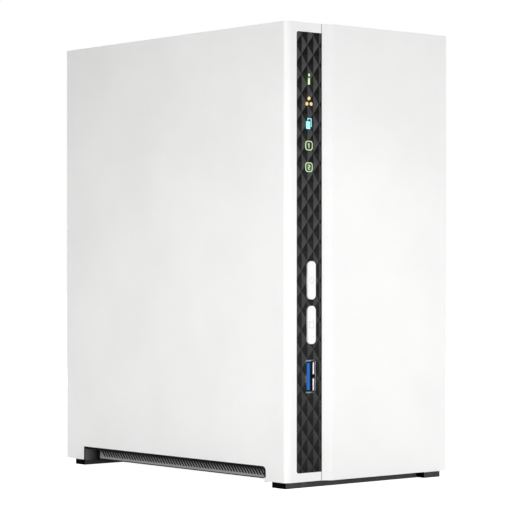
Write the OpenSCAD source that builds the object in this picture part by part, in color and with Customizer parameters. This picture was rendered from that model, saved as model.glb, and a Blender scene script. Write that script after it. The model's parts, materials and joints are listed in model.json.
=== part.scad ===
// Two-bay network attached storage unit. Millimetres, +Z up, front towards -Y.
// Origin: on the floor, under the middle of the case.

/* [Case] */
// Width of the case, left to right
case_w = 90.18; // [90:0.01:92]
// Depth of the case, front to back
case_d = 156.26; // [156:0.01:158]
// Height of the case above its feet
case_h = 188.54; // [188:0.01:192]
// Height of the feet
foot_h = 2.5; // [2:0.1:3]
// How far the walls' lower edges stand above the tray's underside
wall_rise = 0.25; // [0.2:0.05:0.5]
// Thickness of the moulded walls
wall = 2.2; // [2:0.1:2.4]
// How far the rounded front left edge runs along the front
edge_w = 3; // [2:0.5:3]
// How far the rounded front left edge runs along the side
edge_d = 1.6; // [1:0.1:2]
// How far the left front stands behind the right front
front_step = 2.34; // [1.5:0.01:2.6]
// Distance of the front seam from the left side
seam_from_left = 19.35; // [19:0.05:20]
// Width of the bevel between the seam and the right front
bevel_w = 3.74; // [2:0.01:5]
// Gap between the cover and the fixed case
cover_gap = 0.3; // [0.3:0.05:0.4]

/* [Front strip] */
// Distance of the strip from the left side
strip_from_left = 5.68; // [5.5:0.01:6]
// Height of the strip's lower end above the floor
strip_low = 6.4; // [5.5:0.1:7.5]
// Height of the strip's upper end above the floor
strip_high = 187.2; // [180:0.05:187.5]
// Width of one raised diamond
diamond_w = 6.44; // [6.4:0.01:6.5]
// Height of one raised diamond
diamond_h = 8.07; // [8.05:0.01:8.1]
// How far the diamonds' peaks stand out
diamond_relief = 0.25; // [0.1:0.05:0.28]

/* [Buttons] */
// Width of a button
button_w = 4.5; // [4.3:0.05:4.8]
// Height of a button
button_h = 15.7; // [14:0.1:16]
// How far a button stands out of the front
button_proud = 0.3; // [0.1:0.1:1]
// Travel of a button
button_travel = 0.5; // [0.3:0.1:0.5]
// Gap round a button
button_gap = 0.2; // [0.15:0.05:0.3]

/* [Side vents] */
// Start of the side notch behind the front of the case
notch_start = 15.1; // [15:0.1:17]
// End of the side notch behind the front of the case
notch_end = 142.8; // [140:0.1:143]
// Height of the notch's top above the floor
notch_top = 8.8; // [8:0.1:9]
// How far the vent wall stands in from the side of the case
vent_inset = 8.3; // [8:0.1:8.4]
// Distance between neighbouring vent slots
vent_pitch = 1.93; // [1.9:0.01:2.2]

/* [Drives] */
// Length of a drive
drive_len = 147; // [146:0.1:147]
// Width of a drive
drive_w = 101.6; // [101:0.1:102]
// Thickness of a drive
drive_t = 26.1; // [25:0.1:26.1]

/* [Fan] */
// Side of the square fan frame
fan_size = 60; // [60:0.5:61]
// Thickness of the fan
fan_t = 15; // [15:0.5:16]
// Number of fan blades
fan_blades = 7; // [5:1:9]

/* [Hidden] */
$fn = 48;

eps = 0.5;                              // how far a cut runs past the face that it opens

// Colours
white = [0.93, 0.93, 0.92];
black = [0.05, 0.05, 0.055];
dark_grey = [0.13, 0.13, 0.135];
steel = [0.72, 0.73, 0.74];
gold = [0.83, 0.66, 0.3];
board_green = [0.05, 0.25, 0.13];
drive_blue = [0.06, 0.25, 0.72];

// Case planes
left_x = -case_w / 2;
right_x = case_w / 2;
front_y = -case_d / 2;
back_y = case_d / 2;
base_z = foot_h;
wall_low = base_z + wall_rise;
top_z = foot_h + case_h;
left_front_y = front_y + front_step;
seam_x = left_x + seam_from_left;
shell_edge_x = seam_x - cover_gap / 2;
cover_edge_x = seam_x + cover_gap / 2;
left_in_x = left_x + wall;
right_in_x = right_x - wall;
top_in_z = top_z - wall;
shell_front_t = 2.6;
shell_front_in_y = left_front_y + shell_front_t;
tray_t = 1.6;
tray_top = base_z + tray_t;

edge_r = (edge_w ^ 2 + edge_d ^ 2) / (2 * edge_d);    // flush with the front, creased at the side
notch_r = 2;                            // rounding of a notch's front upper corner

// Front strip
strip_depth = 1.4;
strip_face = 0.3;                       // valleys of the diamonds behind the shell's front
strip_left_x = left_x + strip_from_left;
strip_corner_r = 1;
crease_x = left_x + 5.3;                // first crease, just left of the strip
crease_z = 4.475;                       // first row of diamond tips, just below the strip
crease_cols = 5;
crease_rows = 46;

// Signs on the strip
sign_x = left_x + 12.54;
sign_depth = 0.6;
sign_y = left_front_y + strip_face - diamond_relief;
sign_zs = [167.85, 158.6, 149.6, 140.6, 131.75];
sign_window = [5.6, 6];                 // opening in the shell behind each sign
guide_half = 1.9;                       // half the width of a light guide's finger
guide_t = 1.2;

// Main board, whose parts stand on its left face
board_face_x = left_x + 16.8;
board_t = 1.6;
board_front_y = -72.5;
board_back_y = 72.5;
board_low = 20;
board_high = 176;
board_step_z = 118;                     // the board's rear half ends here
board_step_y = -18;
board_holes = [[-64, 27], [-64, 118], [-26, 170], [42, 112], [60, 24]];

// USB sockets
usb_in_w = 5.12;
usb_in_h = 12.5;
usb_depth = 14;
usb_half_w = 2.85;
usb_half_h = 6.6;
usb_lip = 0.2;
port_gap = 0.1;

// Front ports and buttons
button_x = left_x + 13.65;
port_x = board_face_x - usb_half_w;
front_usb_z = 45.8;
power_z = 85.35;
copy_z = 67;
switch_x = board_face_x - 2.7;
switch_y = -68.6;
plunger_r = 0.9;
plunger_len = 2.1;
plunger_out = 0.9;
reset_z = 110;
reset_y = 70;

// Rear ports
panel_t = 2;
panel_back_y = back_y - 3;
panel_y = panel_back_y - panel_t;
panel_low = tray_top + cover_gap;
panel_high = top_in_z - cover_gap;
panel_right_x = right_in_x - cover_gap;
port_out_y = panel_back_y + 0.3;
power_jack_z = 34;
network_z = 56;
rear_usb_zs = [79, 97];
case_screw_xs = [-12, 34];
case_screw_z = 183;
panel_screw_x = left_x + 7;
panel_screw_zs = [14, 182];
lock_x = 32;
lock_z = 36;

// Base tray
tray_right_x = 32.6;
tray_front_y = -73.1;
vent_t = 1.2;
ledge_x = right_x - 12.1;               // inner edge of a vent's ledge

// Drives and their cage
cage_t = 1;
bay_left_x = -22.5;
bay_right_x = 39;
cage_front_y = -64;
cage_back_y = 46;
cage_low = 9.4;
cage_high = 172;
drive_mid_y = -9;
drive_low = 20;
drive_hole_ys = [drive_mid_y - 47.625, drive_mid_y + 47.625];
drive_hole_zs = [drive_low + 41.28, drive_low + 85.73];
lid_t = 0.8;
backplane_z = 9.4;
backplane_t = 1.6;
backplane_top = backplane_z + backplane_t;
backplane_front_y = -25;
backplane_back_y = 35;
cage_screw_spots = [[-17.5, -55], [-17.5, 40], [28, -55], [28, 40]];
backplane_spots = [[-29.5, -20], [-29.5, 30], [16, -20], [16, 30]];

// Fan
fan_x = (bay_left_x + bay_right_x) / 2;
fan_z = 118;
fan_back_y = panel_y;
fan_y = fan_back_y - fan_t;
fan_hole = 25;                          // half of the hole spacing
fan_bore_r = 28.6;
hub_r = 14;
shaft_r = 1.5;

// Feet
foot_left_x = left_x + 2.4;
foot_right_x = left_x + 77.3;
cover_foot_x = left_x + 78.3;

// ---------------------------------------------------------------- helpers

// Box between two corners
module block(low, high) {
    translate(low) cube(high - low);
}

// Rounds between two planes, along each axis
module rod_x(y, z, x0, x1, r) {
    translate([x0, y, z]) rotate([0, 90, 0]) cylinder(h = x1 - x0, r = r);
}

module rod_y(x, z, y0, y1, r) {
    translate([x, y0, z]) rotate([-90, 0, 0]) cylinder(h = y1 - y0, r = r);
}

module rod_z(x, y, z0, z1, r) {
    translate([x, y, z0]) cylinder(h = z1 - z0, r = r);
}

// A flat shape drawn in Y and Z, thick along X
module plate_x(x0, x1) {
    translate([x0, 0, 0]) rotate([90, 0, 90]) linear_extrude(x1 - x0) children();
}

// A flat shape drawn in X and Z, thick along Y
module plate_y(y0, y1) {
    translate([0, y1, 0]) rotate([90, 0, 0]) linear_extrude(y1 - y0) children();
}

// Flat rectangle with rounded corners
module rounded(low, high, r) {
    translate([low.x + r, low.y]) square([high.x - low.x - 2 * r, high.y - low.y]);
    translate([low.x, low.y + r]) square([high.x - low.x, high.y - low.y - 2 * r]);
    for (x = [low.x + r, high.x - r], y = [low.y + r, high.y - r])
        translate([x, y]) circle(r);
}

// Pan-head screw with its head's underside at the origin and its shank down -Z
module screw(r, length, head_r, head_h) {
    slot_w = head_r / 4;
    slot_half = head_r * 0.6;
    translate([0, 0, -length]) cylinder(h = length, r = r);
    difference() {
        cylinder(h = head_h, r = head_r);
        for (turn = [0, 90])
            rotate(turn)
                translate([-slot_half, -slot_w / 2, head_h / 2])
                    cube([2 * slot_half, slot_w, head_h]);
    }
}

// ---------------------------------------------------------------- case

// The side notch, drawn in Y and Z, with its front upper corner rounded; inset shrinks its top and ends
module notch_shape(inset) {
    low = [front_y + notch_start + inset, 0];
    high = [front_y + notch_end - inset, notch_top - inset];
    corner = [low.x, high.y] + (notch_r - inset) * [1, -1];
    polygon([low, [high.x, low.y], high, [corner.x, high.y], corner, [low.x, corner.y]]);
    translate(corner) circle(notch_r - inset);
}

module strip_shape() {
    rounded([strip_left_x, strip_low], [shell_edge_x + 2 * strip_corner_r, strip_high], strip_corner_r);
}

module button_shape(z, grow) {
    half = [button_w / 2 + grow, button_h / 2 + grow];
    rounded([button_x - half.x, z - half.y], [button_x + half.x, z + half.y], 1.9 + grow);
}

module front_port_shape() {
    half = [usb_half_w + port_gap, usb_half_h + usb_lip + port_gap];
    translate([port_x, front_usb_z] - half) square(2 * half);
}

// Outline of the left shell seen from above, with its rounded front left edge
module shell_outline() {
    intersection() {
        translate([left_x, left_front_y]) square([shell_edge_x - left_x, back_y - left_front_y]);
        union() {
            translate([left_x, left_front_y + edge_d])
                square([shell_edge_x - left_x, back_y - left_front_y - edge_d]);
            translate([left_x + edge_w, left_front_y])
                square([shell_edge_x - left_x - edge_w, edge_d + eps]);
            translate([left_x + edge_w, left_front_y + edge_r]) circle(edge_r);
        }
    }
}

module left_shell() {
    boss_r = 3;
    pilot_r = 1.2;
    pilot_len = 6;
    post_len = 10;
    lip_z = top_in_z - cover_gap;
    lip_t = 1.2;
    lip_half = 70;
    lip_left_x = shell_edge_x - 3;
    lip_right_x = cover_edge_x + 3.3;
    color(white) difference() {
        union() {
            difference() {
                translate([0, 0, wall_low]) linear_extrude(top_z - wall_low) shell_outline();
                block([left_in_x, shell_front_in_y, base_z - eps],
                      [shell_edge_x + eps, back_y + eps, top_in_z]);
                plate_x(left_x - eps, left_in_x + eps) notch_shape(0);
            }
            // lip that runs under the top of the cover
            block([lip_left_x, -lip_half, lip_z - lip_t], [lip_right_x, lip_half, lip_z]);
            block([lip_left_x, -lip_half, lip_z - lip_t], [shell_edge_x, lip_half, top_in_z + eps]);
            // posts that carry the main board
            for (spot = board_holes)
                rod_x(spot.x, spot.y, left_in_x - eps, board_face_x, boss_r);
            // posts that take the rear panel's screws
            for (z = panel_screw_zs)
                block([left_in_x - eps, panel_y - post_len, z - boss_r],
                      [panel_screw_x + boss_r, panel_y, z + boss_r]);
        }
        for (spot = board_holes)
            rod_x(spot.x, spot.y, board_face_x - pilot_len, board_face_x + eps, pilot_r);
        for (z = panel_screw_zs)
            rod_y(panel_screw_x, z, panel_y - pilot_len, panel_y + eps, pilot_r);
        // seat of the front strip, and what opens through it
        plate_y(left_front_y - eps, left_front_y + strip_depth) strip_shape();
        plate_y(left_front_y, shell_front_in_y + eps) {
            button_shape(power_z, button_gap);
            button_shape(copy_z, button_gap);
            front_port_shape();
            for (z = sign_zs)
                translate([sign_x - sign_window.x / 2, z - sign_window.y / 2]) square(sign_window);
        }
    }
}

// Outline of the cover seen from above
module cover_outline() {
    polygon([
        [cover_edge_x, left_front_y], [cover_edge_x + bevel_w, front_y], [right_x, front_y],
        [right_x, back_y], [cover_edge_x, back_y]
    ]);
}

module cover_hollow() {
    rim_x = cover_edge_x + bevel_w + wall;
    rim_y = left_front_y + wall;
    polygon([
        [cover_edge_x - eps, rim_y], [rim_x - wall, rim_y], [rim_x, front_y + wall],
        [right_in_x, front_y + wall], [right_in_x, back_y + eps], [cover_edge_x - eps, back_y + eps]
    ]);
}

module right_cover() {
    boss_r = 3.5;
    boss_hole_r = 1.8;
    boss_y = 62;
    flange_x = cover_foot_x - 0.2;
    color(white) difference() {
        union() {
            difference() {
                translate([0, 0, wall_low]) linear_extrude(top_z - wall_low) cover_outline();
                translate([0, 0, base_z]) linear_extrude(top_in_z - base_z) cover_hollow();
                plate_x(right_in_x - eps, right_x + eps) notch_shape(0);
            }
            // bosses on the ends of the case screws
            for (x = case_screw_xs) {
                rod_y(x, case_screw_z, boss_y, panel_y - cover_gap, boss_r);
                block([x - 1.5, boss_y, case_screw_z], [x + 1.5, panel_y - cover_gap, top_in_z + eps]);
            }
            // flanges over the cover's feet
            block([flange_x, front_y + 1, base_z], [right_x - 1, front_y + 14.4, tray_top]);
            block([flange_x, back_y - 12.4, base_z], [right_x - 1, back_y - 2.6, tray_top]);
        }
        for (x = case_screw_xs)
            rod_y(x, case_screw_z, boss_y - eps, panel_y, boss_hole_r);
    }
}

module base_tray() {
    post_r = 4;
    boss_r = 3;
    pilot_r = 1.2;
    slot_len = 16;
    color(dark_grey) difference() {
        union() {
            difference() {
                block([left_in_x, tray_front_y, base_z], [tray_right_x, panel_y - cover_gap, tray_top]);
                // room for the left vent and its ledge
                block([left_in_x - eps, front_y + notch_start, base_z - eps],
                      [-ledge_x, front_y + notch_end, tray_top + eps]);
                // air slots under the drives
                for (x = [-24:6:24], y = [-44, -2, 40])
                    translate([0, 0, base_z - eps]) linear_extrude(tray_t + 2 * eps)
                        rounded([x - 1.3, y - slot_len / 2], [x + 1.3, y + slot_len / 2], 1.25);
            }
            for (spot = cage_screw_spots)
                rod_z(spot.x, spot.y, base_z, cage_low, post_r);
            for (spot = backplane_spots)
                rod_z(spot.x, spot.y, base_z, backplane_z, boss_r);
        }
        for (spot = cage_screw_spots)
            rod_z(spot.x, spot.y, base_z + 0.6, cage_low + eps, pilot_r);
        for (spot = backplane_spots)
            rod_z(spot.x, spot.y, base_z + 2.6, backplane_z + eps, pilot_r);
    }
}

// Perforated lining of a side notch, drawn for the left side
module vent() {
    vent_x = left_x + vent_inset;
    slot_low = base_z + 1.4;
    slot_high = notch_top - 1.6;
    slot_w = 1.05;
    slot_lean = 0.9;                    // run of a slot towards the rear for each unit of height
    first = front_y + notch_start + 2.4;
    count = floor((notch_end - notch_start - 7.5) / vent_pitch);
    plate_x(left_x, vent_x + vent_t) intersection() {
        difference() {
            notch_shape(0);
            notch_shape(1);
        }
        translate([front_y, base_z]) square([case_d, case_h]);
    }
    plate_x(vent_x, vent_x + vent_t) difference() {
        translate([front_y + notch_start + 0.5, base_z])
            square([notch_end - notch_start - 1, notch_top - base_z - 0.5]);
        for (i = [0:count])
            translate([first + i * vent_pitch, slot_low])
                polygon([[0, 0], [slot_w, 0],
                         [slot_w + (slot_high - slot_low) * slot_lean, slot_high - slot_low],
                         [(slot_high - slot_low) * slot_lean, slot_high - slot_low]]);
    }
    block([vent_x, front_y + notch_start + cover_gap, base_z],
          [-ledge_x, front_y + notch_end - cover_gap, base_z + 1]);
}

module left_vent() {
    color(dark_grey) vent();
}

module right_vent() {
    color(dark_grey) mirror([1, 0, 0]) vent();
}

// One sheet of low pyramids: tips and peaks alternate on a grid of creases
function peak_at(i, j) = (i + j) % 2 == 1;
function sheet_index(i, j) = j * (crease_cols + 1) + i;

module diamond_sheet() {
    face_y = left_front_y + strip_face;
    back = left_front_y + strip_depth;
    far_x = crease_x + crease_cols * diamond_w / 2;
    far_z = crease_z + crease_rows * diamond_h / 2;
    grid = [
        for (j = [0:crease_rows], i = [0:crease_cols])
            [crease_x + i * diamond_w / 2, face_y - (peak_at(i, j) ? diamond_relief : 0),
             crease_z + j * diamond_h / 2]
    ];
    corners = [
        [crease_x, back, crease_z], [far_x, back, crease_z], [far_x, back, far_z], [crease_x, back, far_z]
    ];
    n = len(grid);
    fronts = [
        for (j = [0:crease_rows - 1], i = [0:crease_cols - 1])
            let (a = sheet_index(i, j), b = sheet_index(i + 1, j),
                 c = sheet_index(i + 1, j + 1), d = sheet_index(i, j + 1))
                each (peak_at(i, j) ? [[a, d, b], [b, d, c]] : [[a, c, b], [a, d, c]])
    ];
    sides = [
        [n, n + 3, for (j = [crease_rows:-1:0]) sheet_index(0, j)],
        [for (j = [0:crease_rows]) sheet_index(crease_cols, j), n + 2, n + 1],
        [n + 1, n, for (i = [0:crease_cols]) sheet_index(i, 0)],
        [n + 3, n + 2, for (i = [crease_cols:-1:0]) sheet_index(i, crease_rows)],
        [n + 1, n + 2, n + 3, n]
    ];
    polyhedron([each grid, each corners], [each fronts, each sides]);
}

// The facets are flat and hold no bore, so the whole strip is one mesh of its own size
module front_strip() {
    color(black) resize([0, 0, 0]) difference() {
        intersection() {
            diamond_sheet();
            plate_y(left_front_y - eps, left_front_y + strip_depth + eps) intersection() {
                strip_shape();
                translate([left_x, base_z]) square([shell_edge_x - left_x, case_h]);
            }
        }
        plate_y(left_front_y - eps, left_front_y + strip_depth + eps) {
            button_shape(power_z, button_gap);
            button_shape(copy_z, button_gap);
            front_port_shape();
        }
        plate_y(sign_y - eps, sign_y + sign_depth) {
            status_sign();
            network_sign();
            copy_sign();
            drive_1_sign();
            drive_2_sign();
        }
    }
}

// ---------------------------------------------------------------- lit signs

module status_sign() {
    stroke = 0.85;
    stem_h = 2.7;
    dot_z = 1.25;
    dot_h = 1.05;
    translate([sign_x - stroke / 2, sign_zs[0]]) {
        translate([0, -2.2]) square([stroke, stem_h]);
        translate([0, dot_z]) square([stroke, dot_h]);
    }
}

module network_sign() {
    dot_r = 0.72;
    for (spot = [[0, 1.4], [-1.15, -0.85], [1.15, -0.85]])
        translate([sign_x, sign_zs[1]] + spot) circle(dot_r);
}

module copy_sign() {
    page_low = [sign_x - 1.5, sign_zs[2] - 2.15];
    page_size = [2.1, 3.1];
    sheet_low = page_low + [0.66, 0.9];
    sheet_size = [2.2, 3.5];
    stroke = 0.32;
    gap = 0.4;
    translate(page_low) square(page_size);
    difference() {
        translate(sheet_low) square(sheet_size);
        translate(sheet_low + [stroke, stroke]) square(sheet_size - [2 * stroke, 2 * stroke]);
        translate(page_low - [gap, gap]) square(page_size + [2 * gap, 2 * gap]);
    }
}

// Ring round a drive's number
module number_ring(z) {
    half = 1.95;
    stroke = 0.36;
    cut = 1.2;
    translate([sign_x, z]) difference() {
        rounded([-half, -half], [half, half], cut);
        rounded([stroke - half, stroke - half], [half - stroke, half - stroke], cut - stroke);
    }
}

module drive_1_sign() {
    bar = 0.36;
    half_h = 0.95;
    flag_w = 0.5;
    number_ring(sign_zs[3]);
    translate([sign_x, sign_zs[3]]) {
        translate([-bar / 2, -half_h]) square([bar, 2 * half_h]);
        translate([-flag_w, half_h - 1.2 * bar]) square([flag_w, bar]);
    }
}

module drive_2_sign() {
    bar = 0.36;
    half_w = 0.62;
    half_h = 0.98;
    number_ring(sign_zs[4]);
    translate([sign_x, sign_zs[4]]) {
        for (z = [-half_h, -bar / 2, half_h - bar])
            translate([-half_w, z]) square([2 * half_w, bar]);
        translate([half_w - bar, 0]) square([bar, half_h]);
        translate([-half_w, -half_h]) square([bar, half_h]);
    }
}

module status_light() {
    color([0.75, 1, 0.6]) plate_y(sign_y, sign_y + sign_depth) status_sign();
}

module network_light() {
    color([1, 0.75, 0.25]) plate_y(sign_y, sign_y + sign_depth) network_sign();
}

module copy_light() {
    color([0.3, 0.75, 0.95]) plate_y(sign_y, sign_y + sign_depth) copy_sign();
}

module drive_1_light() {
    color([0.5, 0.9, 0.25]) plate_y(sign_y, sign_y + sign_depth) drive_1_sign();
}

module drive_2_light() {
    color([0.5, 0.9, 0.25]) plate_y(sign_y, sign_y + sign_depth) drive_2_sign();
}

// Clear comb that leads each light source to its sign
module light_guide() {
    spine_y = -71.8;
    color([0.85, 0.9, 0.92]) {
        block([sign_x - guide_half, spine_y, sign_zs[4] - 4],
              [board_face_x - 0.6, spine_y + guide_t, sign_zs[0] + 3.5]);
        for (z = sign_zs)
            block([sign_x - guide_half, left_front_y + strip_depth, z - guide_half],
                  [sign_x + guide_half, spine_y, z + guide_half]);
    }
}

module indicator_leds() {
    color([0.95, 0.93, 0.8])
        for (z = sign_zs)
            block([board_face_x - 1.6, -70.5, z - 0.9], [board_face_x, -69.2, z + 0.9]);
}

// ---------------------------------------------------------------- feet

module front_foot() {
    color(black) block([foot_left_x, front_y + 5.4, 0], [foot_right_x, front_y + 13.9, base_z]);
}

module rear_foot() {
    color(black) block([foot_left_x, front_y + 145.4, 0], [tray_right_x - 0.4, front_y + 152.6, base_z]);
}

module cover_feet() {
    color(black) {
        block([cover_foot_x, front_y + 1.5, 0], [cover_foot_x + 9.5, front_y + 10.5, base_z]);
        block([cover_foot_x, back_y - 11.4, 0], [cover_foot_x + 9.5, back_y - 3, base_z]);
    }
}

// ---------------------------------------------------------------- buttons

// Button cap, its stop flanges behind the front wall and its stem
module button(z) {
    flange_y = shell_front_in_y + cover_gap;
    flange_t = 1;
    flange_inset = 1;
    overhang = 1;
    stem = 1;
    stem_y = switch_y - plunger_out - 0.1;
    plate_y(left_front_y - button_proud, flange_y + flange_t) button_shape(z, 0);
    block([button_x - button_w / 2 + flange_inset, flange_y, z - button_h / 2 - overhang],
          [button_x + button_w / 2 - flange_inset, flange_y + flange_t, z + button_h / 2 + overhang]);
    block([switch_x - stem, flange_y, z - stem], [switch_x + stem, stem_y, z + stem]);
}

// Side-acting push switch, with its bore towards -Y
module switch_body(z) {
    bore_r = plunger_r + 0.06;
    half_w = 3;
    depth = 4;
    block_x = switch_x - 2;
    difference() {
        block([block_x, 0, z - half_w], [board_face_x, depth, z + half_w]);
        rod_y(switch_x, z, -eps, plunger_len - plunger_out + button_travel + 0.2, bore_r);
    }
}

module plunger(z) {
    rod_y(switch_x, z, -plunger_out, plunger_len - plunger_out, plunger_r);
}

module power_button() {
    color(white) button(power_z);
}

module copy_button() {
    color(white) button(copy_z);
}

module button_switches() {
    color(steel)
        for (z = [power_z, copy_z])
            translate([0, switch_y, 0]) switch_body(z);
}

module power_plunger() {
    color(dark_grey) translate([0, switch_y, 0]) plunger(power_z);
}

module copy_plunger() {
    color(dark_grey) translate([0, switch_y, 0]) plunger(copy_z);
}

module reset_switch() {
    color(steel) translate([0, reset_y, 0]) mirror([0, 1, 0]) switch_body(reset_z);
}

module reset_plunger() {
    color(dark_grey) translate([0, reset_y, 0]) mirror([0, 1, 0]) plunger(reset_z);
}

// ---------------------------------------------------------------- ports

// USB socket shell at the origin, mouth towards -Y, standing on a board at its right
module usb_shell() {
    spring_out = 0.35;
    lip_high = usb_half_h + usb_lip;
    difference() {
        union() {
            block([-usb_half_w, 0, -usb_half_h], [usb_half_w, usb_depth, usb_half_h]);
            block([-usb_half_w, 0, -lip_high], [usb_half_w, 0.4, lip_high]);
        }
        block([-usb_in_w / 2, -eps, -usb_in_h / 2], [usb_in_w / 2, usb_depth - 0.6, usb_in_h / 2]);
    }
    // retaining springs on the board side
    for (z = [-5.8, 0.9])
        block([usb_in_w / 2 - spring_out, 1.2, z], [usb_in_w / 2 + 0.1, 6.5, z + 4.8]);
}

module usb_tongue() {
    tongue_left = -usb_in_w / 2 + 0.45;
    block([tongue_left, 0.3, -5.55], [tongue_left + 2.1, usb_depth - 2.6, 5.55]);
    block([-usb_in_w / 2, usb_depth - 2.6, -usb_in_h / 2], [usb_in_w / 2, usb_depth - 0.6, usb_in_h / 2]);
}

// Contact strips on the tongue's face
module usb_contacts(count) {
    face_x = -usb_in_w / 2 + 2.55;
    pitch = 8 / (count - 1);
    for (i = [0:count - 1])
        block([face_x, 1.4, i * pitch - 4.4], [face_x + 0.15, 9, i * pitch - 3.6]);
}

module at_front_port() {
    translate([port_x, left_front_y + strip_face + 0.35, front_usb_z]) children();
}

module at_rear_ports() {
    for (z = rear_usb_zs)
        translate([port_x, port_out_y, z]) mirror([0, 1, 0]) children();
}

module front_usb_shell() {
    color(steel) at_front_port() usb_shell();
}

module front_usb_tongue() {
    color(drive_blue) at_front_port() usb_tongue();
}

module front_usb_contacts() {
    color(gold) at_front_port() usb_contacts(4);
}

module rear_usb_shells() {
    color(steel) at_rear_ports() usb_shell();
}

module rear_usb_tongues() {
    color(black) at_rear_ports() usb_tongue();
}

jack_h = 13.4;
jack_half = 8;
jack_depth = 21;

module network_opening() {
    // plug opening with the latch notch on the board side
    translate([board_face_x - jack_h + 1.6, network_z - 5.9]) square([7, 11.8]);
    translate([board_face_x - jack_h + 8, network_z - 3]) square([1.6, 6]);
    translate([board_face_x - jack_h + 9, network_z - 1.6]) square([2.2, 3.2]);
}

module network_jack() {
    color(steel) difference() {
        block([board_face_x - jack_h, port_out_y - jack_depth, network_z - jack_half],
              [board_face_x, port_out_y, network_z + jack_half]);
        plate_y(port_out_y - 13, port_out_y + eps) network_opening();
    }
}

module rear_contacts() {
    contact_x = board_face_x - jack_h + 1.6;
    color(gold) {
        at_rear_ports() usb_contacts(4);
        // eight contact wires of the network jack
        for (i = [0:7])
            block([contact_x, port_out_y - 13, network_z - 3.65 + i * 1.02 - 0.2],
                  [contact_x + 1.1, port_out_y - 3, network_z - 3.65 + i * 1.02 + 0.2]);
    }
}

power_jack_len = 14;
power_bore_len = 10;
power_pin_x = board_face_x - 5;

module power_jack() {
    half = 4.5;
    centre_x = power_pin_x;
    color(black) difference() {
        block([centre_x - half, port_out_y - power_jack_len, power_jack_z - half],
              [board_face_x, port_out_y, power_jack_z + half]);
        rod_y(centre_x, power_jack_z, port_out_y - power_bore_len, port_out_y + eps, 3.15);
    }
}

module power_pin() {
    color(steel) rod_y(power_pin_x, power_jack_z, port_out_y - power_bore_len, port_out_y - 0.8, 1.25);
}

// ---------------------------------------------------------------- rear panel

module rear_panel_shape() {
    hole_pitch = 5;
    hole_r = 1.95;
    row_h = hole_pitch * sin(60);
    grille_r = 26.5;
    screw_hole_r = 1.8;
    port_clear = 0.2;
    usb_hole = [usb_half_w * 2 + 0.5, 14.4];
    power_hole = [9.7, 9.4];
    slot_pitch = 6;
    difference() {
        translate([left_in_x, panel_low]) square([panel_right_x - left_in_x, panel_high - panel_low]);
        // fan grille: round holes in staggered rows
        for (j = [-6:6], i = [-6:6]) {
            spot = [(i + (j % 2 == 0 ? 0 : 0.5)) * hole_pitch, j * row_h];
            if (norm(spot) + hole_r < grille_r)
                translate([fan_x, fan_z] + spot) circle(hole_r);
        }
        for (x = [-fan_hole, fan_hole], z = [-fan_hole, fan_hole])
            translate([fan_x + x, fan_z + z]) circle(screw_hole_r);
        // air slots under the fan
        for (i = [-3:3])
            rounded_slot(fan_x + i * slot_pitch, 58, 22);
        for (x = case_screw_xs)
            translate([x, case_screw_z]) circle(screw_hole_r);
        for (z = panel_screw_zs)
            translate([panel_screw_x, z]) circle(screw_hole_r);
        // ports
        translate([board_face_x - jack_h - port_clear, network_z - jack_half - port_clear])
            square([jack_h + port_clear, 2 * (jack_half + port_clear)]);
        for (z = rear_usb_zs)
            translate([board_face_x + 0.1 - usb_hole.x, z - usb_hole.y / 2]) square(usb_hole);
        translate([board_face_x - power_hole.x, power_jack_z - power_hole.y / 2]) square(power_hole);
        translate([switch_x, reset_z]) circle(1);
        translate([lock_x, lock_z]) rounded([-1.5, -3.5], [1.5, 3.5], 1);
    }
}

module rounded_slot(x, z, height) {
    translate([x, z]) rounded([-1.5, -height / 2], [1.5, height / 2], 1.4);
}

module rear_panel() {
    ring_out = 0.8;
    color(white) {
        plate_y(panel_y, panel_back_y) rear_panel_shape();
        // raised ring round the grille
        plate_y(panel_back_y - 0.1, panel_back_y + ring_out) translate([fan_x, fan_z]) difference() {
            circle(29.5);
            circle(27.5);
        }
    }
}

// ---------------------------------------------------------------- boards

module main_board() {
    hole_r = 1.7;
    color(board_green) plate_x(board_face_x, board_face_x + board_t) difference() {
        polygon([
            [board_front_y, board_low], [board_back_y, board_low], [board_back_y, board_step_z],
            [board_step_y, board_step_z], [board_step_y, board_high], [board_front_y, board_high]
        ]);
        for (spot = board_holes)
            translate(spot) circle(hole_r);
    }
}

processor_y = 8;
processor_z = 78;
processor_t = 1.6;

module processor() {
    half = 8.5;
    color(black) block([board_face_x - processor_t, processor_y - half, processor_z - half],
                       [board_face_x, processor_y + half, processor_z + half]);
}

module heat_sink() {
    half = 16;
    base_t = 2;
    fin_h = 7;
    fins = 9;
    fin_t = 1.1;
    fin_step = (2 * half - fin_t) / (fins - 1);
    base_x = board_face_x - processor_t;
    color(steel) {
        block([base_x - base_t, processor_y - half, processor_z - half],
              [base_x, processor_y + half, processor_z + half]);
        for (i = [0:fins - 1])
            block([base_x - base_t - fin_h, processor_y - half + i * fin_step, processor_z - half],
                  [base_x - base_t + 0.1, processor_y - half + i * fin_step + fin_t, processor_z + half]);
    }
}

module memory_chips() {
    color(black)
        for (spot = [[-24, 70], [-24, 88], [-46, 100]])
            block([board_face_x - 1.2, spot.x - 6.5, spot.y - 5], [board_face_x, spot.x + 6.5, spot.y + 5]);
}

battery_y = 14;
battery_z = 38;

module clock_battery() {
    color(steel) rod_x(battery_y, battery_z, board_face_x - 4.2, board_face_x - 1, 10);
}

module battery_holder() {
    color(black) difference() {
        rod_x(battery_y, battery_z, board_face_x - 3.4, board_face_x, 11.4);
        rod_x(battery_y, battery_z, board_face_x - 4, board_face_x - 1, 10.05);
        block([board_face_x - 4, battery_y - 14, battery_z + 6],
              [board_face_x - 1, battery_y + 14, battery_z + 14]);
    }
}

module link_connectors() {
    color(black) {
        block([board_face_x - 5, -12, backplane_top], [board_face_x, 24, board_low - 3]);
        block([board_face_x - 6, -13, board_low - 3], [board_face_x, 25, board_low + 5]);
    }
}

// ---------------------------------------------------------------- drives and cage

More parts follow.
